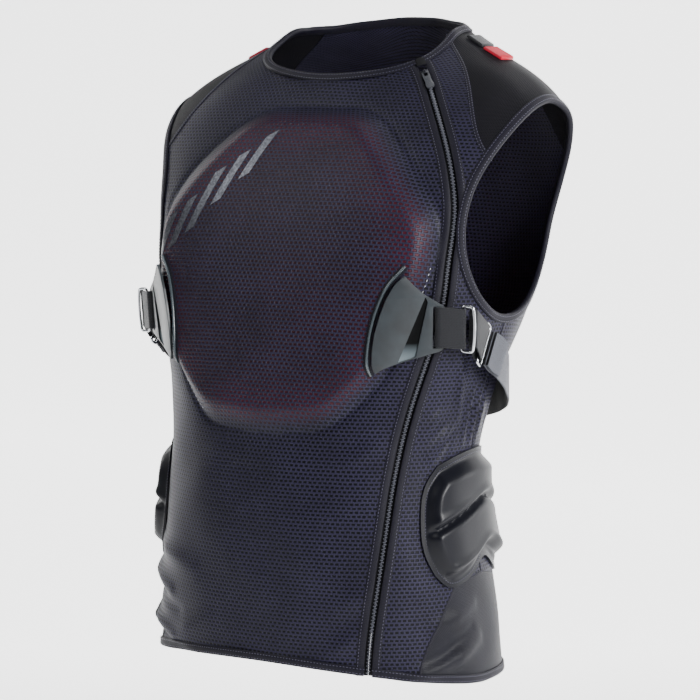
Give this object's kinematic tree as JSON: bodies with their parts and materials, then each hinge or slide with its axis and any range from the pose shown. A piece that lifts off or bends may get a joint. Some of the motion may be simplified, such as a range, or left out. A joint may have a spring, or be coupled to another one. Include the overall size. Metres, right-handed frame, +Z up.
{
  "type": "body protector vest",
  "caption": "Sleeveless mesh vest with a padded chest guard under the cloth, hip pads, a side zip and strap plates at the ribs.",
  "frame": {"origin": "seat on the shoulders: middle of the neck opening, level with the inner side of the shoulders", "axes": "+Z up along the body, -Y towards the front of the vest, +X towards the wearer's left"},
  "size_m": [0.4206, 0.3002, 0.64],
  "materials": {
    "mesh_cloth": "knitted spacer mesh",
    "yoke_cloth": "fine knit",
    "side_knit": "smooth stretch knit",
    "edge_tape": "stitched stretch tape",
    "guard_foam": "moulded foam",
    "pad_lycra": "lycra over moulded foam",
    "plate_nylon": "satin moulded",
    "welt_rubber": "glossy",
    "webbing": "woven webbing",
    "bright_steel": "polished",
    "zip_cloth": "woven tape",
    "zip_nylon": "moulded coil",
    "black_metal": "black coated",
    "pull_rubber": "matt moulded",
    "red_rubber": "moulded"
  },
  "bodies": {
    "vest": {"front_panel": "mesh_cloth", "left_front_panel": "mesh_cloth", "back_panel": "mesh_cloth", "yoke_left": "yoke_cloth", "yoke_right": "yoke_cloth", "side_gusset_left": "side_knit", "side_gusset_right": "side_knit", "neck_binding": "edge_tape", "hem_binding": "edge_tape", "armhole_binding_left": "edge_tape", "armhole_binding_right": "edge_tape", "chest_guard": "guard_foam", "hip_pad_left": "pad_lycra", "hip_pad_right": "pad_lycra", "wing_left": "plate_nylon", "wing_right": "plate_nylon", "wing_welt_left": "welt_rubber", "wing_welt_right": "welt_rubber", "front_web_left": "webbing", "front_web_right": "webbing", "hook_left": "bright_steel", "hook_right": "bright_steel", "strap_end_left": "webbing", "strap_end_right": "webbing", "adjuster_left": "bright_steel", "adjuster_right": "bright_steel", "side_strap_left": "webbing", "side_strap_right": "webbing", "strap_patch_left": "webbing", "strap_patch_right": "webbing", "shoulder_tab_left": "webbing", "shoulder_tab_right": "webbing", "red_tab_left": "red_rubber", "red_tab_right": "red_rubber", "zip_tape_left": "zip_cloth", "zip_tape_right": "zip_cloth", "zip_coil": "zip_nylon", "zip_slider": "black_metal", "zip_guard": "zip_cloth"},
    "pull": {"zip_pull": "pull_rubber"}
  },
  "joints": [
    {"name": "pull_hinge", "type": "hinge", "parent": "vest", "child": "pull", "pos_m": [0.10221, -0.05502, -0.03384], "axis": [-0.7724, -0.5409, -0.3328], "range_deg": [0, 150]}
  ]
}
